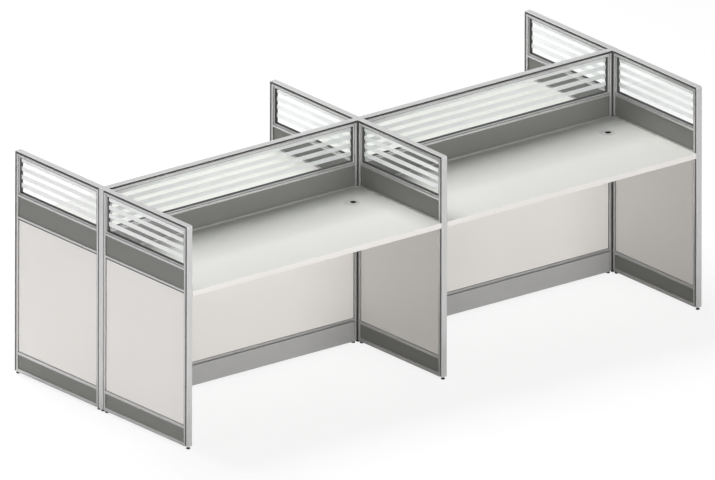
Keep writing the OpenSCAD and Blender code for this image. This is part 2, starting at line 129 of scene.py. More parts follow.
def joinLoops(part, a, b):
    # quads between two loops, or triangles where one of them is a single point
    made = []
    count = max(len(a), len(b))
    for k in range(count):
        j = (k + 1) % count
        corners = (a[k % len(a)], a[j % len(a)], b[j % len(b)], b[k % len(b)])
        made.append(part.faces.new(list(dict.fromkeys(corners))))
    return made


def addBar(store, low, high, along, bevel, steps=2, place=home, mat=0):
    part = bmesh.new()
    bmesh.ops.create_cube(part, size=1)
    for v in part.verts:
        v.co = Vector([low[k] if v.co[k] < 0 else high[k] for k in range(3)])
    if bevel:
        bmesh.ops.bevel(part, geom=part.edges[:], offset=bevel, segments=steps,
                        profile=0.5, affect="EDGES", clamp_overlap=True)
    lengthwiseUv(part, along)
    gather(store, part, place, mat)


def addExtrusion(store, outline, start, end, place):
    # outline is (y, z) points, drawn out along x
    part = bmesh.new()
    ends = [[part.verts.new((x, y, z)) for y, z in outline] for x in (start, end)]
    joinLoops(part, *ends)
    part.faces.new(ends[0][::-1])
    part.faces.new(ends[1])
    bmesh.ops.recalc_face_normals(part, faces=part.faces[:])
    lengthwiseUv(part, 0)
    gather(store, part, place)


def circlePoints(cx, cy, r, steps):
    return [(cx + r * cos(2 * pi * k / steps), cy + r * sin(2 * pi * k / steps))
            for k in range(steps)]


def addLathe(store, outline, centre, steps, mat=0, closed=True):
    # outline is (radius, height) points, turned about a vertical axis
    part = bmesh.new()
    rings = [newLoop(part, circlePoints(*centre, r, steps) if r else [centre], z)
             for r, z in outline]
    for a, b in zip(rings, rings[1:]):
        joinLoops(part, a, b)
    if closed:
        joinLoops(part, rings[-1], rings[0])
    bmesh.ops.recalc_face_normals(part, faces=part.faces[:])
    planUv(part)
    gather(store, part, mat=mat)


def pieceName(key, ending):
    # left_front and Frame give leftFrontFrame
    first, second = key.split("_")
    return first + second.capitalize() + ending


def makePiece(name, store, materials, body="structure", stands=(), smooth=30):
    mesh = bpy.data.meshes.new(name)
    mesh.from_pydata([v * inMetres for v in store["verts"]], [], store["faces"])
    uv = mesh.uv_layers.new(name="along")
    for k, value in enumerate(store["uvs"]):
        uv.data[k].uv = value
    for k, f in enumerate(mesh.polygons):
        f.material_index = store["mats"][k]
        f.use_smooth = smooth > 0
    for m in materials:
        mesh.materials.append(m)
    piece = bpy.data.objects.new(name, mesh)
    scene.collection.objects.link(piece)
    if smooth > 0:
        mesh.set_sharp_from_angle(angle=radians(smooth))
        even = piece.modifiers.new("evenNormals", "WEIGHTED_NORMAL")
        even.keep_sharp = True
        even.weight = flatFaceWeight
    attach(piece, body)
    if stands:
        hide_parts(*stands)


# shader node groups that several finishes share
def newGroup(name, inputs, outputs):
    tree = bpy.data.node_groups.new(name, "ShaderNodeTree")
    for label, kind, value in inputs:
        socket = tree.interface.new_socket(name=label, in_out="INPUT", socket_type=kind)
        if value is not None:
            socket.default_value = value
    for label, kind in outputs:
        tree.interface.new_socket(name=label, in_out="OUTPUT", socket_type=kind)
    return tree, tree.nodes.new("NodeGroupInput"), tree.nodes.new("NodeGroupOutput")


def setInput(tree, socket, value):
    if isinstance(value, bpy.types.NodeSocket):
        tree.links.new(value, socket)
    else:
        socket.default_value = value


def addNode(tree, kind, settings=None, **inputs):
    node = tree.nodes.new("ShaderNode" + kind)
    for key, value in (settings or {}).items():
        setattr(node, key, value)
    for key, value in inputs.items():
        setInput(tree, node.inputs[key.replace("_", " ")], value)
    return node


def addMath(tree, operation, a, b, kind="Math"):
    node = addNode(tree, kind, {"operation": operation})
    setInput(tree, node.inputs[0], a)
    setInput(tree, node.inputs[1], b)
    return node.outputs[0]


def makeBrushing():
    # fine lines along a drawn profile, from coordinates that run along it
    tree, start, end = newGroup("brushedLines", [
        ("Coordinates", "NodeSocketVector", None),
        ("Line Density", "NodeSocketFloat", 5200.0),
        ("Roughness Low", "NodeSocketFloat", 0.24),
        ("Roughness High", "NodeSocketFloat", 0.36)],
        [("Roughness", "NodeSocketFloat"), ("Height", "NodeSocketFloat"),
         ("Tone", "NodeSocketFloat")])
    scale = addNode(tree, "CombineXYZ", X=6.0, Y=start.outputs["Line Density"], Z=1.0)
    stretched = addMath(tree, "MULTIPLY", start.outputs["Coordinates"], scale.outputs[0],
                        kind="VectorMath")
    lines = addNode(tree, "TexNoise", Vector=stretched, Scale=1.0, Detail=3.0, Roughness=0.6)
    patches = addNode(tree, "TexNoise", Vector=start.outputs["Coordinates"], Scale=7.0,
                      Detail=2.0)
    shine = addNode(tree, "MapRange", Value=lines.outputs["Fac"], From_Min=0.3, From_Max=0.7,
                    To_Min=start.outputs["Roughness Low"],
                    To_Max=start.outputs["Roughness High"])
    tone = addMath(tree, "MULTIPLY", lines.outputs["Fac"], patches.outputs["Fac"])
    tree.links.new(shine.outputs["Result"], end.inputs["Roughness"])
    tree.links.new(lines.outputs["Fac"], end.inputs["Height"])
    tree.links.new(tone, end.inputs["Tone"])
    return tree


def makeGrain():
    # pressed surface of a faced board or a powder coat: tiny bumps and soft clouding
    tree, start, end = newGroup("pressedGrain", [
        ("Coordinates", "NodeSocketVector", None),
        ("Grain Size", "NodeSocketFloat", 900.0),
        ("Cloud Size", "NodeSocketFloat", 3.0),
        ("Roughness Low", "NodeSocketFloat", 0.4),
        ("Roughness High", "NodeSocketFloat", 0.5)],
        [("Height", "NodeSocketFloat"), ("Cloud", "NodeSocketFloat"),
         ("Speck", "NodeSocketFloat"), ("Roughness", "NodeSocketFloat")])
    grain = addNode(tree, "TexNoise", Vector=start.outputs["Coordinates"],
                    Scale=start.outputs["Grain Size"], Detail=2.0)
    cloud = addNode(tree, "TexNoise", Vector=start.outputs["Coordinates"],
                    Scale=start.outputs["Cloud Size"], Detail=3.0, Roughness=0.55)
    cells = addNode(tree, "TexVoronoi", {"feature": "F1"},
                    Vector=start.outputs["Coordinates"], Scale=start.outputs["Grain Size"])
    speck = addNode(tree, "MapRange", Value=cells.outputs["Distance"], From_Min=0.12,
                    From_Max=0.42)
    rough = addNode(tree, "MapRange", Value=cloud.outputs["Fac"], From_Min=0.35, From_Max=0.65,
                    To_Min=start.outputs["Roughness Low"],
                    To_Max=start.outputs["Roughness High"])
    tree.links.new(grain.outputs["Fac"], end.inputs["Height"])
    tree.links.new(cloud.outputs["Fac"], end.inputs["Cloud"])
    tree.links.new(speck.outputs["Result"], end.inputs["Speck"])
    tree.links.new(rough.outputs["Result"], end.inputs["Roughness"])
    return tree


brushedLines = makeBrushing()
pressedGrain = makeGrain()
# depths of the bumps, in metres
lineDepth, grainDepth, filmDepth = 0.00002, 0.00012, 0.00005


def startMaterial(name, **sockets):
    mat = bpy.data.materials.new(name)
    mat.use_nodes = True
    tree = mat.node_tree
    shader = tree.nodes["Principled BSDF"]
    for key, value in sockets.items():
        shader.inputs[key.replace("_", " ")].default_value = value
    return mat, tree, shader


def rgb(value, warm=0.0, green=0.0):
    return (value * (1 + warm), value * (1 + green), value * (1 - warm), 1.0)


def mixColour(tree, factor, a, b, blend="MIX"):
    # a Mix node's colour inputs are its seventh and eighth, and its colour output the third
    node = addNode(tree, "Mix", {"data_type": "RGBA", "blend_type": blend})
    for place, value in ((0, factor), (6, a), (7, b)):
        setInput(tree, node.inputs[place], value)
    return node.outputs[2]


def mixShaders(tree, mask, first, second):
    # the first where the mask is 0, the second where it is 1
    mix = addNode(tree, "MixShader", Fac=mask)
    tree.links.new(first.outputs[0], mix.inputs[1])
    tree.links.new(second.outputs[0], mix.inputs[2])
    return mix


def bumpFrom(tree, shader, height, strength, distance):
    bump = addNode(tree, "Bump", Height=height, Strength=strength, Distance=distance)
    tree.links.new(bump.outputs["Normal"], shader.inputs["Normal"])


def brushedMetal(name, tone, roughLow, roughHigh, metallic, warm=0.004, contrast=0.04,
                 bump=0.05):
    mat, tree, shader = startMaterial(name, Metallic=metallic)
    coords = addNode(tree, "UVMap", {"uv_map": "along"})
    lines = addNode(tree, "Group", {"node_tree": brushedLines}, Coordinates=coords.outputs[0],
                    Roughness_Low=roughLow, Roughness_High=roughHigh)
    colour = mixColour(tree, lines.outputs["Tone"], rgb(tone * (1 - contrast), warm),
                       rgb(tone * (1 + contrast), warm))
    tree.links.new(colour, shader.inputs["Base Color"])
    tree.links.new(lines.outputs["Roughness"], shader.inputs["Roughness"])
    bumpFrom(tree, shader, lines.outputs["Height"], bump, lineDepth)
    return mat


def facedBoard(name, tone, warm, roughLow, roughHigh, green=0.0, grain=900.0, specks=0.03,
               clouds=0.02, bump=0.25, **sockets):
    mat, tree, shader = startMaterial(name, **sockets)
    coords = addNode(tree, "TexCoord")
    skin = addNode(tree, "Group", {"node_tree": pressedGrain},
                   Coordinates=coords.outputs["Object"], Grain_Size=grain, Cloud_Size=2.2,
                   Roughness_Low=roughLow, Roughness_High=roughHigh)
    clouded = mixColour(tree, skin.outputs["Cloud"], rgb(tone * (1 - clouds), warm, green),
                        rgb(tone * (1 + clouds), warm * 0.8, green))
    shade = mixColour(tree, skin.outputs["Speck"], rgb(1 - specks), rgb(1.0))
    dotted = mixColour(tree, 1.0, clouded, shade, "MULTIPLY")
    tree.links.new(dotted, shader.inputs["Base Color"])
    tree.links.new(skin.outputs["Roughness"], shader.inputs["Roughness"])
    bumpFrom(tree, shader, skin.outputs["Height"], bump, grainDepth)
    return mat


def clearGlass():
    mat, tree, shader = startMaterial("clearGlass", Base_Color=(0.985, 0.995, 0.99, 1.0),
                                      Roughness=0.0, IOR=1.45, Transmission_Weight=1.0)
    # light that falls through the pane isn't held back
    path = addNode(tree, "LightPath")
    through = addNode(tree, "BsdfTransparent", Color=(0.95, 0.96, 0.955, 1.0))
    mix = mixShaders(tree, path.outputs["Is Shadow Ray"], shader, through)
    tree.links.new(mix.outputs[0], tree.nodes["Material Output"].inputs["Surface"])
    return mat


def frostedFilm(name, low, high):
    mat, tree, shader = startMaterial(name, Roughness=0.55, Alpha=0.94)
    coords = addNode(tree, "TexCoord")
    skin = addNode(tree, "Group", {"node_tree": pressedGrain},
                   Coordinates=coords.outputs["Object"], Grain_Size=2600.0, Cloud_Size=4.0)
    colour = mixColour(tree, skin.outputs["Speck"], rgb(low), rgb(high))
    tree.links.new(colour, shader.inputs["Base Color"])
    bumpFrom(tree, shader, skin.outputs["Height"], 0.2, filmDepth)
    return mat


def galvanised():
    mat, tree, shader = startMaterial("galvanisedSheet", Metallic=0.9)
    coords = addNode(tree, "TexCoord")
    spangle = addNode(tree, "TexVoronoi", Vector=coords.outputs["Object"], Scale=160.0)
    skin = addNode(tree, "Group", {"node_tree": pressedGrain},
                   Coordinates=coords.outputs["Object"], Grain_Size=500.0,
                   Roughness_Low=0.32, Roughness_High=0.5)
    grey = addNode(tree, "SeparateColor", Color=spangle.outputs["Color"])
    colour = mixColour(tree, grey.outputs[0], rgb(0.42, -0.01), rgb(0.56, -0.01))
    tree.links.new(colour, shader.inputs["Base Color"])
    tree.links.new(skin.outputs["Roughness"], shader.inputs["Roughness"])
    return mat


frameMetal = brushedMetal("frameAluminium", 0.66, 0.22, 0.34, metallic=0.7)
capMetal = brushedMetal("capAluminium", 0.72, 0.26, 0.38, metallic=0.45)
postMetal = brushedMetal("postAluminium", 0.7, 0.24, 0.36, metallic=0.45)
# dark plastic of the joint profiles, also used as painted shade on the posts' inner corner
# strips
jointPlasticAndCornerShade = facedBoard("jointPlasticAndCornerShade", 0.06, 0.0, 0.45, 0.6, grain=1500, bump=0.15)
lightBoard = facedBoard("lowerBoardMelamine", 0.81, 0.036, 0.4, 0.5, specks=0.035)
bandBoard = facedBoard("bandMelamine", 0.185, 0.035, 0.42, 0.52, 0.045, specks=0.08,
                       clouds=0.03)
kickBoard = facedBoard("kickMelamine", 0.19, 0.035, 0.45, 0.55, 0.045, specks=0.08,
                       clouds=0.03)
deskTop = facedBoard("worktopMelamine", 0.83, 0.022, 0.36, 0.46, 0.025, grain=1100,
                     specks=0.03, Specular_IOR_Level=0.2)
deskEdge = facedBoard("worktopEdging", 0.86, 0.034, 0.3, 0.38, grain=1500, specks=0.02,
                      bump=0.12)
# dark strips round the boards: partly seal, partly painted shadow of the rails and recess
# walls
sealAndShadowRubber = facedBoard("sealAndShadowRubber", 0.06, 0.0, 0.55, 0.7, grain=1800, bump=0.2)
gasketRubber = facedBoard("gasketRubber", 0.09, 0.0, 0.55, 0.7, grain=1800, bump=0.2)
# painted shade: near black for the inside of the grommet bore and of the cap's hole
boreShadePaint = facedBoard("grommetBoreShade", 0.02, 0.0, 0.6, 0.75, grain=1800, bump=0.2)
beadMetal = brushedMetal("beadAluminium", 0.66, 0.28, 0.4, metallic=0.5)
grommetPlastic = facedBoard("grommetPlastic", 0.72, 0.018, 0.32, 0.42, grain=2000, bump=0.2)
coverPaint = facedBoard("coverPowderCoat", 0.42, 0.004, 0.38, 0.48, grain=1300, bump=0.35)
footNylon = facedBoard("footNylon", 0.012, 0.0, 0.5, 0.65, grain=1500, bump=0.25)
zincSteel = galvanised()
glassMat = clearGlass()
# one frosted film in two tones: the wings' copy is lighter as painted light, the spine's copy
# darker as painted shade
litWingFilm = frostedFilm("litWingFilm", 0.91, 0.96)
spineFilm = frostedFilm("spineFilm", 0.58, 0.63)
print("materials made")


def boxOf(node):
    # low and high corner of a frame node, in millimetres
    return [[c * 1000 for c in corner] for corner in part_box(node)]


# layout, read from the frame
postLow, postHigh = boxOf("centre_post")
capLow, capHigh = boxOf("top_caps")
half = round(postHigh[0], 3)                # half the thickness of a partition
pitch = round(-(boxOf("left_post")[0][0] + half), 3)
postFoot, capTop = postLow[2], capHigh[2]
wingLen = -capLow[1] - half
spineLen = pitch - 2 * half

# panel name: x and y of its inner end, turn, length, sides that face a worktop
panels = {
    "left_front": (-pitch, -half, -90, wingLen, (1,)),
    "left_rear": (-pitch, half, 90, wingLen, (-1,)),
    "centre_front": (0, -half, -90, wingLen, (-1, 1)),
    "centre_rear": (0, half, 90, wingLen, (-1, 1)),
    "right_front": (pitch, -half, -90, wingLen, (-1,)),
    "right_rear": (pitch, half, 90, wingLen, (1,)),
    "left_spine": (-pitch + half, 0, 0, spineLen, (-1, 1)),
    "right_spine": (half, 0, 0, spineLen, (-1, 1)),
}
wings = [p for p in panels if not p.endswith("spine")]
spines = [p for p in panels if p.endswith("spine")]
groups = ("left", "centre", "right", "spine")
desks = ("front_left", "front_right", "rear_left", "rear_right")


def rearward(desk):
    # the side of the spine that a worktop is on: 1 behind it, -1 in front
    return -1 if desk.startswith("front") else 1


def placeOf(panel):
    x, y, turn = panels[panel][:3]
    return Matrix.Translation((x, y, 0)) @ Matrix.Rotation(radians(turn), 4, "Z")


def groupPanels(group):
    return spines if group == "spine" else [group + "_front", group + "_rear"]


# heights of the rails and of what they hold, depths from the middle of a partition, and
# widths along a panel: gap before the first stile, stile, and groove and trim at a free end
levels = {"bottomRail": (12, 28), "kick": (28, 94), "kickRail": (94, 107),
          "raceFoot": (12, 22), "raceRail": (108, 118), "bandRail": (735, 745),
          "band": (745, 839), "midRail": (839, 849), "glass": (849, 1030),
          "topRail": (1030, 1038)}
across = {"boardFace": 9, "boardThick": 5, "glassHalf": 2.5, "gasketFace": 4.5, "beadFace": 10}
stile = {"inner": 6, "width": 10, "endGroove": 10, "trim": 3}


def openSpan(panel):
    # clear opening between the two stiles of a panel
    start = stile["inner"] + stile["width"]
    if panel in spines:
        return start, panels[panel][3] - start
    return start, panels[panel][3] - stile["trim"] - stile["endGroove"] - stile["width"]


def lowerSpan(panel):
    bottom = levels["raceRail"][1] if panel in spines else levels["kickRail"][1]
    return bottom, levels["bandRail"][0]


# posts and their caps
postLook = {"corner": 2.0, "steps": 5, "top": 1047, "capEdge": 1.0, "capSteps": 4,
            "strip": 3.0, "stripProud": 0.4, "stripEdge": 0.3}


def roundedSquare(size, radius, steps):
    points = []
    for quarter in range(4):
        a0 = quarter * pi / 2
        cx = (size - radius) * (1 if quarter in (0, 3) else -1)
        cy = (size - radius) * (1 if quarter in (0, 1) else -1)
        points += [(cx + radius * cos(a0 + a), cy + radius * sin(a0 + a))
                   for a in quarterTurn(steps)]
    return points


def addPrism(store, rings, centre, along=2, mat=0):
    # rings is a list of (outline, height), joined from the bottom up
    part = bmesh.new()
    loops = [newLoop(part, [(centre[0] + x, centre[1] + y) for x, y in outline], z)
             for outline, z in rings]
    for a, b in zip(loops, loops[1:]):
        joinLoops(part, a, b)
    part.faces.new(loops[0][::-1])
    part.faces.new(loops[-1])
    lengthwiseUv(part, along)
    gather(store, part, mat=mat)


def makePosts(s):
    outline = roundedSquare(half, s["corner"], s["steps"])
    for name, x in (("left", -pitch), ("centre", 0), ("right", pitch)):
        store = newStore()
        addPrism(store, [(outline, postFoot), (outline, s["top"])], (x, 0))
        makePiece(name + "Post", store, [postMetal],
                  stands=[name + "_post"])
    store = newStore()
    e = s["capEdge"]
    for x in (-pitch, 0, pitch):
        shrunk = [(roundedSquare(half - e * (1 - cos(a)), s["corner"], s["steps"]),
                   capTop - e * (1 - sin(a))) for a in quarterTurn(s["capSteps"])]
        addPrism(store, [(outline, s["top"])] + shrunk, (x, 0), along=0)
    makePiece("postCaps", store, [capMetal], stands=["post_caps"])

    # dark strip down each inner corner, where two partitions meet, as painted shade of the
    # deep corner
    store = newStore()
    inner, outer = half - s["strip"], half + s["stripProud"]
    top = s["top"] - s["stripEdge"]
    for x, sides in ((-pitch, (1,)), (0, (-1, 1)), (pitch, (-1,))):
        for sx in sides:
            for sy in (-1, 1):
                xs = sorted((x + sx * inner, x + sx * outer))
                ys = sorted((sy * inner, sy * outer))
                addBar(store, (xs[0], ys[0], postFoot), (xs[1], ys[1], top), 2,
                       s["stripEdge"], 1)
    makePiece("cornerShadeStrips", store, [jointPlasticAndCornerShade])


makePosts(postLook)
print("posts made")

# frames: stiles and rails of each panel
frameLook = {"edge": 0.6, "play": 0.2}


def makeFrame(panel, s):
    store = newStore()
    place = placeOf(panel)
    start, end = openSpan(panel)
    top = levels["topRail"][1]
    for u in (start - stile["width"], end):
        addBar(store, (u, -half, postFoot), (u + stile["width"], half, top), 2, s["edge"],
               place=place)
    lowRails = ("raceFoot", "raceRail") if panel in spines else ("bottomRail", "kickRail")
    for rail in (*lowRails, "bandRail", "midRail", "topRail"):
        deep = across["boardFace"] if rail == "raceFoot" else half
        low, high = levels[rail]
        addBar(store, (start + s["play"], -deep, low), (end - s["play"], deep, high), 0,
               s["edge"], place=place)
    makePiece(pieceName(panel, "Frame"), store, [frameMetal],
              stands=[panel + "_frame"])


for panel in panels:
    makeFrame(panel, frameLook)
print("frames made")

# top caps and end trims: one rounded strip that turns the free corner of each wing
capLook = {"thick": 3.0, "edge": 2.0, "edgeSteps": 4, "turn": 5.0, "turnSteps": 8,
           "seam": 0.25}


def stripOutline(s):
    # across the strip: v and height above its inner face, from one side to the other
    e, t = s["edge"], s["thick"]
    right = [(half - e + e * cos(a), t - e + e * sin(a)) for a in quarterTurn(s["edgeSteps"])]
    left = [(-v, h) for v, h in right[::-1]]
    return [(half, 0)] + right + left + [(-half, 0)]


def addStrip(store, path, s, place):
    # path holds (u, z, normal u, normal z, run) stations on the inner face of the strip
    part = bmesh.new()
    outline = stripOutline(s)
    layer = part.loops.layers.uv.verify()
    rows = [[part.verts.new((u + nu * h, v, z + nz * h)) for v, h in outline]
            for u, z, nu, nz, run in path]
    around = [0.0]
    for a, b in zip(outline, outline[1:]):
        around.append(around[-1] + Vector((b[0] - a[0], b[1] - a[1])).length)
    for r in range(len(path) - 1):
        runs = (path[r][4], path[r][4], path[r + 1][4], path[r + 1][4])
        for k, f in enumerate(joinLoops(part, rows[r], rows[r + 1])):
            j = (k + 1) % len(outline)
            turns = (around[k], around[j], around[j], around[k])
            for l, run, turn in zip(f.loops, runs, turns):
                l[layer].uv = (run * inMetres, turn * inMetres)
    part.faces.new(rows[0][::-1])
    part.faces.new(rows[-1])
    bmesh.ops.recalc_face_normals(part, faces=part.faces[:])
    gather(store, part, place)


def makeCaps(s):
    caps, trims = newStore(), newStore()
    inner = capTop - s["thick"]
    for panel in panels:
        length = panels[panel][3]
        if panel in spines:
            addStrip(caps, [(0, inner, 0, 1, 0), (length, inner, 0, 1, length)], s,
                     placeOf(panel))
            continue
        r = s["turn"]
        cu, cz = length - s["thick"] - r, inner - r
        path = [(0, inner, 0, 1, 0)]
        for turned in quarterTurn(s["turnSteps"]):
            a = pi / 2 - turned
            path.append((cu + r * cos(a), cz + r * sin(a), cos(a), sin(a), cu + r * turned))
        addStrip(caps, path, s, placeOf(panel))
        addStrip(trims, [(length - s["thick"], cz - s["seam"], 1, 0, 0),
                         (length - s["thick"], postFoot, 1, 0, cz - postFoot)], s,
                 placeOf(panel))
    makePiece("topCaps", caps, [capMetal], stands=["top_caps"])
    makePiece("endTrims", trims, [capMetal], stands=["end_trims"])


makeCaps(capLook)
print("caps and trims made")

# boards, with a dark strip round each one, partly a seal in the joint and partly painted
# shadow, widest under the band rail
boardLook = {"edge": 0.4, "grip": 3.2, "sealProud": 0.8, "sealSunk": 0.2, "sealEdge": 0.3,
             "sealShades": {"band": (0, 0, 1.6), "lower": (8.5, 1.6, 2.2), "kick": (0, 0, 1.6)}}


def addBoards(store, sealShades, panel, low, high, widths, s):
    # a board on each face of a panel; widths are those of the dark strip above, below and
    # beside
    start, end = openSpan(panel)
    front, back = across["boardFace"], across["boardFace"] - across["boardThick"]
    above, below, beside = widths
    for side in (-1, 1):
        v = sorted((side * front, side * back))
        addBar(store, (start - s["grip"], v[0], low - s["grip"]),
               (end + s["grip"], v[1], high + s["grip"]), 0, s["edge"], place=placeOf(panel))
        lip = sorted((side * (front - s["sealSunk"]), side * (front + s["sealProud"])))
        z0, z1 = low + below, high - above
        strips = [((start, z0), (start + beside, z1)), ((end - beside, z0), (end, z1))]
        if above:
            strips.append(((start, z1), (end, high)))
        if below:
            strips.append(((start, low), (end, z0)))
        for (u0, z0), (u1, z1) in strips:
            addBar(sealShades, (u0, lip[0], z0), (u1, lip[1], z1),
                   0 if u1 - u0 > z1 - z0 else 2, s["sealEdge"], 1, place=placeOf(panel))


def makeBoards(s):
    sealShades = newStore()
    for group in groups:
        band, lower = newStore(), newStore()
        for panel in groupPanels(group):
            addBoards(band, sealShades, panel, *levels["band"], s["sealShades"]["band"], s)
            addBoards(lower, sealShades, panel, *lowerSpan(panel), s["sealShades"]["lower"], s)
        makePiece(group + "BandBoards", band, [bandBoard],
                  stands=[group + "_band_boards"])
        makePiece(group + "LowerBoards", lower, [lightBoard],
                  stands=[group + "_lower_boards"])
    kick = newStore()
    for panel in wings:
        addBoards(kick, sealShades, panel, *levels["kick"], s["sealShades"]["kick"], s)
    makePiece("kickBoards", kick, [kickBoard], stands=["kick_boards"])
    makePiece("boardSealsAndShadows", sealShades, [sealAndShadowRubber])


makeBoards(boardLook)
print("boards made")

# glazing: panes, frosted stripes on one face of each, and beads
paneLook = {"play": 0.5}
stripeLook = {"bands": ((1000, 1019), (961, 981), (922, 943), (883, 904)),
              "skin": 0.2, "inset": 10.7, "gap": 0.05}
beadLook = {"width": 9.0, "play": 1.4, "edge": 0.4, "lip": 2.2, "lipBack": 0.6}


def addBorder(store, panel, side, inset, width, face, mat, edge):
    # four bars round the glass on one face of a panel
    start, end = openSpan(panel)
    bottom, top = levels["glass"]
    v = sorted((side * across["gasketFace"], side * face))
    u0, u1, z0, z1 = start + inset, end - inset, bottom + inset, top - inset
    for low, high in (((u0, z0), (u1, z0 + width)), ((u0, z1 - width), (u1, z1)),
                      ((u0, z0 + width), (u0 + width, z1 - width)),
                      ((u1 - width, z0 + width), (u1, z1 - width))):
        along = 0 if high[0] - low[0] > high[1] - low[1] else 2
        addBar(store, (low[0], v[0], low[1]), (high[0], v[1], high[1]), along, edge,
               place=placeOf(panel), mat=mat)


def makeGlazing(pane, film, bead):
    stripes, beads = newStore(), newStore()
    low, high = levels["glass"]
    for group in groups:
        store = newStore()
        for panel in groupPanels(group):
            start, end = openSpan(panel)
            t, play = across["glassHalf"], pane["play"]
            addBar(store, (start + play, -t, low + play), (end - play, t, high - play), 0, 0,
                   place=placeOf(panel))
        makePiece(group + "Glass", store, [glassMat], stands=[group + "_glass"],
                  smooth=0)
    for panel in panels:
        start, end = openSpan(panel)
        # on the face away from the worktop, or on the right or rear face between two
        faces = panels[panel][4]
        side = -faces[0] if len(faces) == 1 else -1 if panel.endswith("rear") else 1
        v0 = across["glassHalf"] + film["gap"]
        v = sorted((side * v0, side * (v0 + film["skin"])))
        # the spine's stripes take the film's copy with painted shade, the wings' stripes the
        # copy with painted light
        for z0, z1 in film["bands"]:
            addBar(stripes, (start + film["inset"], v[0], z0), (end - film["inset"], v[1], z1),
                   0, 0, place=placeOf(panel), mat=1 if panel in spines else 0)
        # a bead on each face, and inside it the lip of the gasket
        width, face = bead["width"] - bead["lip"], across["beadFace"]
        for side in (-1, 1):
            addBorder(beads, panel, side, bead["play"], width - bead["play"], face, 0,
                      bead["edge"])
            addBorder(beads, panel, side, width, bead["lip"], face - bead["lipBack"], 1,
                      bead["edge"])
    makePiece("frostedStripes", stripes, [litWingFilm, spineFilm], smooth=0)
    makePiece("glazingBeads", beads, [beadMetal, gasketRubber],
              stands=["glazing_beads"])


makeGlazing(paneLook, stripeLook, beadLook)
print("glazing made")

# worktops with an edging band, and their cable grommets
deskLook = {"edge": 1.2, "edgeSteps": 3, "seam": 2.0, "seamWide": 0.3, "seamDeep": 0.15,
            "hole": 30.0, "holeSteps": 64}
# dome: steps inwards from the rim of the flange and upwards from the worktop
ringLook = {"flange": 36.0, "dome": ((0, 0), (0, 0.6), (0.5, 1.3), (2.2, 2.2), (3.4, 2.5)),
            "boreEdge": (0.5, 0.4), "barrel": 29.7, "wall": 3.0, "ledge": 23.7,
            "ledgeTop": 738.7, "ledgeEdge": 0.3, "ledgeThick": 3.0, "ledgeRoot": 5.0,
            "shadeDown": 0.5, "shadeUp": 0.1, "steps": 72}
turnLook = {"radius": 26.4, "low": 739.0, "edge": 0.7, "edgeSteps": 3, "holeRadius": 14.0,
            "holeOff": 8.0, "shadeSkin": 0.4, "shadeSkinDown": 0.2, "steps": 64}


def addHoledPlate(store, outer, hole, topMat, sideMat, seam=()):
    # outer and seam are (points, z) loops, up the sides and then inwards over the top;
    # hole is (points, z low, z high)
    part = bmesh.new()
    loops = [newLoop(part, points, z) for points, z in (*outer, *seam)]
    holePoints, holeLow, holeHigh = hole
    rims = [newLoop(part, holePoints, z) for z in (holeHigh, holeLow)]
    for a, b in [*zip(loops, loops[1:]), rims]:
        for f in joinLoops(part, a, b):
            f.material_index = sideMat
    for loop, rim in ((loops[-1], rims[0]), (loops[0], rims[1])):
        edges = []
        for ring in (loop, rim):
            for k in range(len(ring)):
                a, b = ring[k], ring[(k + 1) % len(ring)]
                edges.append(part.edges.get((a, b)) or part.edges.new((a, b)))
        made = bmesh.ops.triangle_fill(part, use_beauty=True, use_dissolve=False, edges=edges)
        for f in made["geom"]:
            if isinstance(f, bmesh.types.BMFace):
                f.material_index = topMat
    bmesh.ops.recalc_face_normals(part, faces=part.faces[:])
    planUv(part)
    gather(store, part, mat=None)


def insetRect(low, high, d):
    return [(low[0] + d, low[1] + d), (high[0] - d, low[1] + d),
            (high[0] - d, high[1] - d), (low[0] + d, high[1] - d)]


def roundedSides(inset, z0, z1, edge, steps):
    # loops up the sides of a plate with both edges rounded; inset gives the loop at a depth
    arc = quarterTurn(steps)
    sides = [(inset(edge * (1 - sin(a))), z0 + edge * (1 - cos(a))) for a in arc]
    return sides + [(inset(edge * (1 - cos(a))), z1 - edge * (1 - sin(a))) for a in arc]


def makeWorktop(desk, s, centre):
    low, high = boxOf(desk + "_worktop")
    z0, z1 = low[2], high[2]
    outer = roundedSides(lambda d: insetRect(low, high, d), z0, z1, s["edge"], s["edgeSteps"])
    # fine groove between the facing and the edging band
    seam = [(insetRect(low, high, s["seam"]), z1 - s["seamDeep"]),
            (insetRect(low, high, s["seam"] + s["seamWide"]), z1)]
    store = newStore()
    addHoledPlate(store, outer, (circlePoints(*centre, s["hole"], s["holeSteps"]), z0, z1),
                  0, 1, seam)
    makePiece(pieceName(desk, "Worktop"), store, [deskTop, deskEdge],
              stands=[desk + "_worktop"])


def makeGrommetRing(desk, s, centre):
    # domed flange on the worktop, and the bore through it with a ledge for the cap, the bore
    # painted near black as painted shade
    low, high = boxOf(desk + "_worktop")
    ledge, ledgeTop, barrel = s["ledge"], s["ledgeTop"], s["barrel"]
    bore = barrel - s["wall"]
    top = high[2] + s["dome"][-1][1]
    outside = (barrel, high[2] - s["shadeDown"])
    inside = (bore, ledgeTop + s["shadeUp"])
    flange = [outside, (barrel, high[2])]
    flange += [(s["flange"] - inwards, high[2] + up) for inwards, up in s["dome"]]
    flange += [(bore + s["boreEdge"][0], top), (bore, top - s["boreEdge"][1]), inside]
    shadedBoreOutline = [inside, (bore, ledgeTop), (ledge + s["ledgeEdge"], ledgeTop),
              (ledge, ledgeTop - s["ledgeEdge"]), (ledge, ledgeTop - s["ledgeThick"]),
              (bore, ledgeTop - s["ledgeRoot"]), (bore, low[2]), (barrel, low[2]), outside]
    store = newStore()
    addLathe(store, flange, centre, s["steps"], 0, closed=False)
    addLathe(store, shadedBoreOutline, centre, s["steps"], 1, closed=False)
    makePiece(pieceName(desk, "GrommetRing"), store, [grommetPlastic, boreShadePaint],
              stands=[desk + "_grommet_ring"])


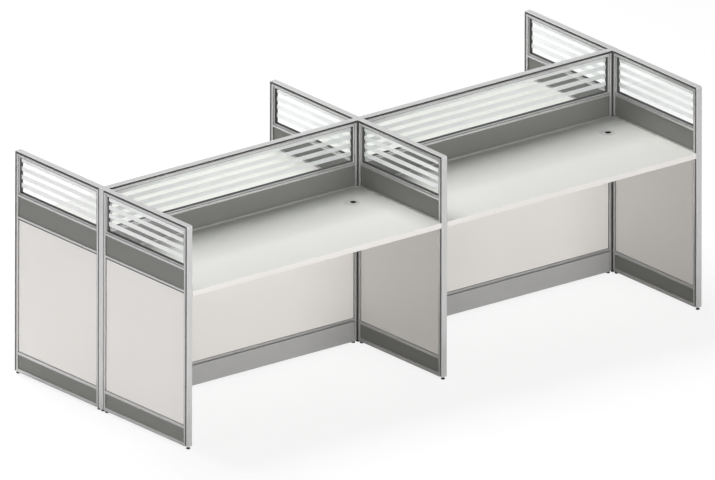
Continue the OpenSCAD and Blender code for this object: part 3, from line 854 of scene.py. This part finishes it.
def makeGrommetCap(desk, s, centre):
    # turning cap with its cable hole off the centre, and a thin skin in the hole painted near
    # black as painted shade
    low, top = s["low"], boxOf(desk + "_grommet_cap")[1][2]
    outer = roundedSides(lambda d: circlePoints(*centre, s["radius"] - d, s["steps"]), low,
                         top, s["edge"], s["edgeSteps"])
    holeCentre = (centre[0] - rearward(desk) * s["holeOff"], centre[1])
    hole = circlePoints(*holeCentre, s["holeRadius"], s["steps"])
    store = newStore()
    addHoledPlate(store, outer, (hole, low, top), 0, 0)
    radius, shadeSkinTop = s["holeRadius"], top - s["shadeSkinDown"]
    bore = radius - s["shadeSkin"]
    addLathe(store, [(radius, low), (radius, shadeSkinTop), (bore, shadeSkinTop), (bore, low)],
             holeCentre, s["steps"], 1)
    makePiece(pieceName(desk, "GrommetCap"), store, [grommetPlastic, boreShadePaint],
              body=desk + "_turn_cap", stands=[desk + "_grommet_cap"])


for desk in desks:
    ringLow, ringHigh = boxOf(desk + "_grommet_ring")
    centre = ((ringLow[0] + ringHigh[0]) / 2, (ringLow[1] + ringHigh[1]) / 2)
    makeWorktop(desk, deskLook, centre)
    makeGrommetRing(desk, ringLook, centre)
    makeGrommetCap(desk, turnLook, centre)
print("worktops and grommets made")

# raceway covers: folded sheets with soft bends
coverLook = {"low": 10.0, "high": 104.0, "thick": 1.5, "flange": 5.0, "bend": 1.5,
             "bendSteps": 4, "start": 17.0}


def coverOutline(s, side):
    t, r, back = s["thick"], s["bend"], half - s["flange"]
    arc = quarterTurn(s["bendSteps"])
    low = [(half - r + r * sin(a), s["low"] + r - r * cos(a)) for a in arc]
    high = [(half - r + r * cos(a), s["high"] - r + r * sin(a)) for a in arc]
    shape = [(back, s["low"])] + low + high + [(back, s["high"]), (back, s["high"] - t),
             (half - t, s["high"] - t), (half - t, s["low"] + t), (back, s["low"] + t)]
    return [(side * v, z) for v, z in shape]


def makeCover(desk, s):
    panel = desk.split("_")[1] + "_spine"
    store = newStore()
    addExtrusion(store, coverOutline(s, rearward(desk)), s["start"], spineLen - s["start"],
                 placeOf(panel))
    makePiece(pieceName(desk, "RacewayCover"), store, [coverPaint],
              body=desk + "_cover", stands=[desk + "_raceway_cover"])


for desk in desks:
    makeCover(desk, coverLook)
print("raceway covers made")

# levelling feet: nylon pad, chamfered lock nut and threaded stem
footLook = {"pad": ((0, 0), (8.2, 0), (9.0, 0.8), (9.0, 4.0), (8.4, 4.8), (6.5, 5.6),
                    (6.2, 7.0), (0, 7.0)), "padSteps": 40,
            "nutAcross": 11.0, "nutHigh": 4.7, "nutEdge": 0.5, "nutShrink": 0.9,
            "stem": 3.0, "stemTop": 49.0, "stemEdge": 0.6, "stemSteps": 16, "pitch": 1.25,
            "threadDepth": 0.35, "fromPost": 12.0, "fromEnd": 9.0}


def addFoot(store, centre, s):
    addLathe(store, s["pad"], centre, s["padSteps"], 0, closed=False)
    low, edge = s["pad"][-1][1], s["nutEdge"]
    high = low + s["nutHigh"]
    hexagon = circlePoints(0, 0, s["nutAcross"] / 2, 6)
    small = [(x * s["nutShrink"], y * s["nutShrink"]) for x, y in hexagon]
    addPrism(store, [(small, low), (hexagon, low + edge), (hexagon, high - edge),
                     (small, high)], centre, mat=1)
    outline, z = [(s["stem"], low)], low
    while z < s["stemTop"] - s["pitch"]:
        outline += [(s["stem"] - s["threadDepth"], z + s["pitch"] / 2),
                    (s["stem"], z + s["pitch"])]
        z += s["pitch"]
    outline += [(s["stem"] - s["stemEdge"], s["stemTop"]), (0, s["stemTop"])]
    addLathe(store, outline, centre, s["stemSteps"], 1, closed=False)


def makeFeet(s):
    for panel in panels:
        store = newStore()
        length = panels[panel][3]
        far = length - (s["fromPost"] if panel in spines else s["fromEnd"])
        for u in (s["fromPost"], far):
            spot = placeOf(panel) @ Vector((u, 0, 0))
            addFoot(store, (spot.x, spot.y), s)
        makePiece(pieceName(panel, "Feet"), store, [footNylon, zincSteel],
                  body=panel + "_foot_set", stands=[panel + "_feet"])
    store = newStore()
    for x in (-pitch, 0, pitch):
        addFoot(store, (x, 0), s)
    makePiece("postFeet", store, [footNylon, zincSteel], body="post_foot_set",
              stands=["post_feet"])


makeFeet(footLook)
print("feet made")

# frame nodes whose own shape is right
keptFinish = {"joint_profiles": jointPlasticAndCornerShade, "glazing_gaskets": gasketRubber,
              "support_bars": zincSteel, "cleats": zincSteel, "cleat_screws": zincSteel,
              "panel_bolts": zincSteel, "raceway_trays": zincSteel}
for name, mat in keptFinish.items():
    mesh = cadNodes[name].data
    mesh.materials.clear()
    mesh.materials.append(mat)
print("kept nodes finished")

# floor, backdrop and light
floorLook = {"size": 60.0, "tone": 0.8, "glow": 0.84, "share": 0.22}
worldLook = {"horizon": 0.14, "zenith": 0.05, "mirror": 0.7, "seen": 1.0}
lamps = {"backPanel": {"power": 440.0, "size": (4.2, 3.5), "place": (-0.3, 3.3, 6.1),
                       "mirrored": False},
         "frontPanel": {"power": 700.0, "size": (15.0, 1.8), "place": (-1.4, -9.3, 1.3),
                        "mirrored": True},
         "leftPanel": {"power": 255.0, "size": (6.0, 2.0), "place": (-9.5, 1.5, 1.6),
                       "mirrored": True}}
lampAim = Vector((0, 0, 0.5))


def seenMask(tree):
    # 1 where the camera looks, also through the panes, and 0 for light on the object
    path = addNode(tree, "LightPath")
    unbounced = addMath(tree, "LESS_THAN", path.outputs["Diffuse Depth"], 0.5)
    through = addMath(tree, "MULTIPLY", path.outputs["Is Transmission Ray"], unbounced)
    return addMath(tree, "MAXIMUM", path.outputs["Is Camera Ray"], through)


def makeFloor(s):
    mesh = bpy.data.meshes.new("studioFloor")
    r = s["size"] / 2
    mesh.from_pydata([(-r, -r, 0), (r, -r, 0), (r, r, 0), (-r, r, 0)], [], [(0, 1, 2, 3)])
    mat, tree, shader = startMaterial("studioFloor", Roughness=1.0, Specular_IOR_Level=0.0,
                                      Base_Color=(s["tone"], s["tone"], s["tone"], 1.0))
    soft = addNode(tree, "BsdfDiffuse", Color=(s["share"], s["share"], s["share"], 1.0))
    glow = addNode(tree, "Emission", Color=(1, 1, 1, 1), Strength=s["glow"])
    both = addNode(tree, "AddShader")
    tree.links.new(soft.outputs[0], both.inputs[0])
    tree.links.new(glow.outputs[0], both.inputs[1])
    # near white with a faint shadow where it is seen, plain where it gives light back
    mix = mixShaders(tree, seenMask(tree), shader, both)
    tree.links.new(mix.outputs[0], tree.nodes["Material Output"].inputs["Surface"])
    mesh.materials.append(mat)
    floor = bpy.data.objects.new("studioFloor", mesh)
    scene.collection.objects.link(floor)


def makeWorld(s):
    world = bpy.data.worlds.new("studioWorld")
    scene.world = world
    world.use_nodes = True
    tree = world.node_tree
    shader = tree.nodes["Background"]
    shader.inputs["Color"].default_value = (1, 1, 1, 1)
    coords = addNode(tree, "TexCoord")
    split = addNode(tree, "SeparateXYZ", Vector=coords.outputs["Generated"])
    rise = addNode(tree, "MapRange", Value=split.outputs["Z"], To_Min=s["horizon"],
                   To_Max=s["zenith"])
    tree.links.new(rise.outputs[0], shader.inputs["Strength"])
    path = addNode(tree, "LightPath")
    for strength, mask in ((s["mirror"], path.outputs["Is Glossy Ray"]),
                           (s["seen"], seenMask(tree))):
        white = addNode(tree, "Background", Color=(1, 1, 1, 1), Strength=strength)
        shader = mixShaders(tree, mask, shader, white)
    tree.links.new(shader.outputs[0], tree.nodes["World Output"].inputs["Surface"])


def makeLamp(name, s):
    data = bpy.data.lights.new(name, "AREA")
    data.shape = "RECTANGLE"
    data.size, data.size_y = s["size"]
    data.energy = s["power"]
    lamp = bpy.data.objects.new(name, data)
    lamp.location = s["place"]
    lamp.visible_glossy = s["mirrored"]
    lamp.visible_transmission = False
    direction = lampAim - Vector(s["place"])
    lamp.rotation_euler = direction.to_track_quat("-Z", "Y").to_euler()
    scene.collection.objects.link(lamp)


makeFloor(floorLook)
makeWorld(worldLook)
for name, s in lamps.items():
    makeLamp(name, s)
scene.view_settings.view_transform = "Standard"
print("floor and light made")
